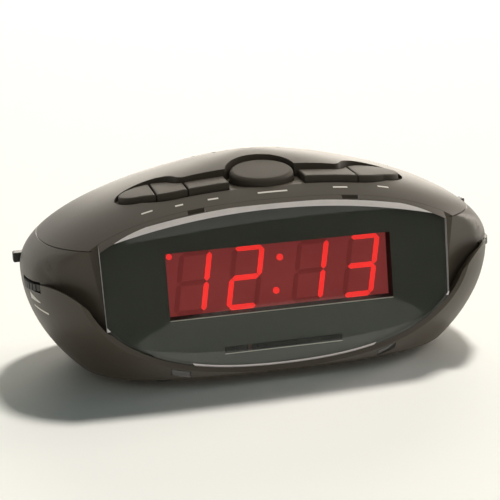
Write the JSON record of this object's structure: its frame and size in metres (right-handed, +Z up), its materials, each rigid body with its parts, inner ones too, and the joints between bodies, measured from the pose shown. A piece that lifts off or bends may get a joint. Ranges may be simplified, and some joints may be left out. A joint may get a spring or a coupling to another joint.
{
  "type": "led alarm clock radio",
  "caption": "Egg-shaped mains alarm clock radio with a red lit display behind a clear front, a recessed row of buttons, thumb wheels and a tuning dial.",
  "frame": {"origin": "on the table under the middle of the clock, at the soles of its feet", "axes": "+X to the viewer's right along the display, -Y to the front where the display faces, +Z up"},
  "size_m": [0.2008, 0.1107, 0.0856],
  "materials": {
    "housing_black": "satin",
    "button_black": "satin",
    "wheel_black": "ribbed satin",
    "lens_clear": "polished clear plastic",
    "fascia_black": "matt",
    "display_red": "satin",
    "segments_lit": "glowing",
    "segments_dark": "satin",
    "reflector_white": "matt",
    "board_brown": "satin",
    "chip_black": "matt",
    "can_blue": "gloss",
    "drive_white": "satin",
    "cord_pale": "woven",
    "pointer_red": "gloss",
    "dial_dark": "matt",
    "ferrite": "matt",
    "copper": "lacquered",
    "steel": "plated",
    "cone_paper": "paper",
    "battery_wrap": "painted",
    "door_black": "satin",
    "rubber_black": "matt"
  },
  "bodies": {
    "housing": {"bottom_shell": "housing_black", "middle_shell": "housing_black", "top_cover": "housing_black", "lens": "lens_clear", "fascia": "fascia_black", "display_face": "display_red", "lit_segments": "segments_lit", "dark_segments": "segments_dark", "display_block": "reflector_white", "rod_holders": "reflector_white", "idler_post": "reflector_white", "display_board": "board_brown", "key_board": "board_brown", "main_board": "board_brown", "clock_chip": "chip_black", "radio_chip": "chip_black", "key_switches": "chip_black", "battery_contacts": "chip_black", "filter_capacitors": "can_blue", "tuning_capacitor": "drive_white", "volume_control": "drive_white", "dial_cord": "cord_pale", "dial_plate": "dial_dark", "ferrite_rod": "ferrite", "speaker_magnet": "ferrite", "antenna_coil": "copper", "transformer_coil": "copper", "speaker_frame": "steel", "transformer_core": "steel", "transformer_bracket": "steel", "housing_screws": "steel", "board_screws": "steel", "function_switch": "steel", "band_switch": "steel", "speaker_cone": "cone_paper", "backup_battery": "battery_wrap", "rubber_feet": "rubber_black", "cord_bushing": "rubber_black"},
    "hour_key": {"hour_button": "button_black"},
    "minute_key": {"minute_button": "button_black"},
    "time_key": {"time_button": "button_black"},
    "snooze_key": {"snooze_button": "button_black"},
    "alarm_key": {"alarm_button": "button_black"},
    "sleep_key": {"sleep_button": "button_black"},
    "volume": {"volume_wheel": "wheel_black"},
    "tuning": {"tuning_wheel": "wheel_black", "dial_drum": "drive_white"},
    "idler": {"idler_pulley": "drive_white"},
    "pointer": {"dial_pointer": "pointer_red"},
    "function": {"function_knob": "wheel_black"},
    "band": {"band_knob": "wheel_black"},
    "door": {"battery_door": "door_black"}
  },
  "joints": [
    {"name": "hour_press", "type": "slide", "parent": "housing", "child": "hour_key", "axis": [0, 0, -1], "range_m": [0, 0.001], "stiffness_N_per_m": 600, "springref_m": -0.0005},
    {"name": "minute_press", "type": "slide", "parent": "housing", "child": "minute_key", "axis": [0, 0, -1], "range_m": [0, 0.001], "stiffness_N_per_m": 600, "springref_m": -0.0005},
    {"name": "time_press", "type": "slide", "parent": "housing", "child": "time_key", "axis": [0, 0, -1], "range_m": [0, 0.001], "stiffness_N_per_m": 600, "springref_m": -0.0005},
    {"name": "snooze_press", "type": "slide", "parent": "housing", "child": "snooze_key", "axis": [0, 0, -1], "range_m": [0, 0.001], "stiffness_N_per_m": 600, "springref_m": -0.0005},
    {"name": "alarm_press", "type": "slide", "parent": "housing", "child": "alarm_key", "axis": [0, 0, -1], "range_m": [0, 0.001], "stiffness_N_per_m": 600, "springref_m": -0.0005},
    {"name": "sleep_press", "type": "slide", "parent": "housing", "child": "sleep_key", "axis": [0, 0, -1], "range_m": [0, 0.001], "stiffness_N_per_m": 600, "springref_m": -0.0005},
    {"name": "volume_turn", "type": "hinge", "parent": "housing", "child": "volume", "pos_m": [-0.0795, -0.0221, 0.042], "axis": [0, 0, 1], "range_deg": [0, 270]},
    {"name": "tuning_turn", "type": "hinge", "parent": "housing", "child": "tuning", "pos_m": [0.0795, -0.0221, 0.042], "axis": [0, 0, 1], "range_deg": [-55, 300]},
    {"name": "idler_turn", "type": "hinge", "parent": "housing", "child": "idler", "pos_m": [-0.04, -0.0221, 0.0236], "axis": [0, 0, 1], "range_deg": [-55, 300]},
    {"name": "pointer_slide", "type": "slide", "parent": "housing", "child": "pointer", "axis": [1, 0, 0], "range_m": [-0.00576, 0.03142]},
    {"name": "function_slide", "type": "slide", "parent": "housing", "child": "function", "axis": [0, 1, 0], "range_m": [-0.003, 0.003]},
    {"name": "band_slide", "type": "slide", "parent": "housing", "child": "band", "axis": [0, 1, 0], "range_m": [-0.003, 0.003]},
    {"name": "door_hinge", "type": "hinge", "parent": "housing", "child": "door", "pos_m": [0.02725, 0.0044, 0.0039], "axis": [-1, 0, 0], "range_deg": [0, 75]}
  ],
  "couplings": [
    {"joint": "idler_turn", "follows": "tuning_turn", "ratio": 1},
    {"joint": "pointer_slide", "follows": "tuning_turn", "m_per_rad": 0.006}
  ]
}
